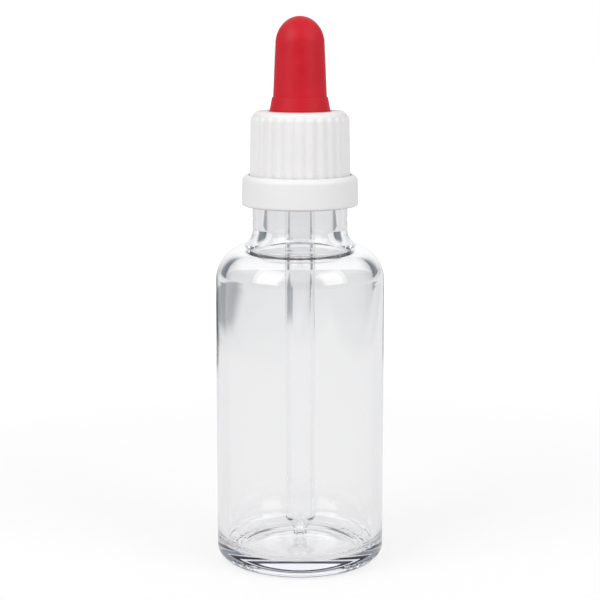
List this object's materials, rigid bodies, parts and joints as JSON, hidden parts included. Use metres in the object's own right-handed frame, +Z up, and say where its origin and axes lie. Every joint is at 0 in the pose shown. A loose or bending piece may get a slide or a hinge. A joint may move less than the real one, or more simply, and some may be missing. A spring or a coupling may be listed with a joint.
{
  "type": "dropper bottle",
  "caption": "Clear glass dropper bottle with a round shoulder, ribbed screw cap, tamper ring, rubber bulb and glass pipette.",
  "frame": {"origin": "centre of the ring that the bottle stands on", "axes": "+Z up along the bottle's axis; the bottle is round, so +X and +Y are free; -Y faces the viewer"},
  "size_m": [0.037, 0.037, 0.1201],
  "materials": {
    "bottle_glass": "polished clear",
    "pipette_glass": "polished clear",
    "cap_plastic": "satin moulded",
    "bulb_rubber": "satin"
  },
  "bodies": {
    "bottle": {"bottle": "bottle_glass"},
    "tamper_ring": {"tamper_ring": "cap_plastic"},
    "dropper": {"pipette": "pipette_glass"},
    "cap": {"cap": "cap_plastic"},
    "bulb": {"bulb": "bulb_rubber"}
  },
  "joints": [
    {"name": "tamper_ring_turn", "type": "hinge", "parent": "bottle", "child": "tamper_ring", "pos_m": [0, 0, 0.082], "axis": [0, 0, 1], "continuous": true},
    {"name": "dropper_lift", "type": "slide", "parent": "bottle", "child": "dropper", "axis": [0, 0, 1], "range_m": [0, 0.1]},
    {"name": "cap_turn", "type": "hinge", "parent": "dropper", "child": "cap", "pos_m": [0, 0, 0.092], "axis": [0, 0, 1], "range_deg": [0, 720]},
    {"name": "bulb_squeeze", "type": "slide", "parent": "dropper", "child": "bulb", "axis": [0, 0, -1], "range_m": [0, 0.006], "stiffness_N_per_m": 800, "deforming": ["bulb"]}
  ]
}
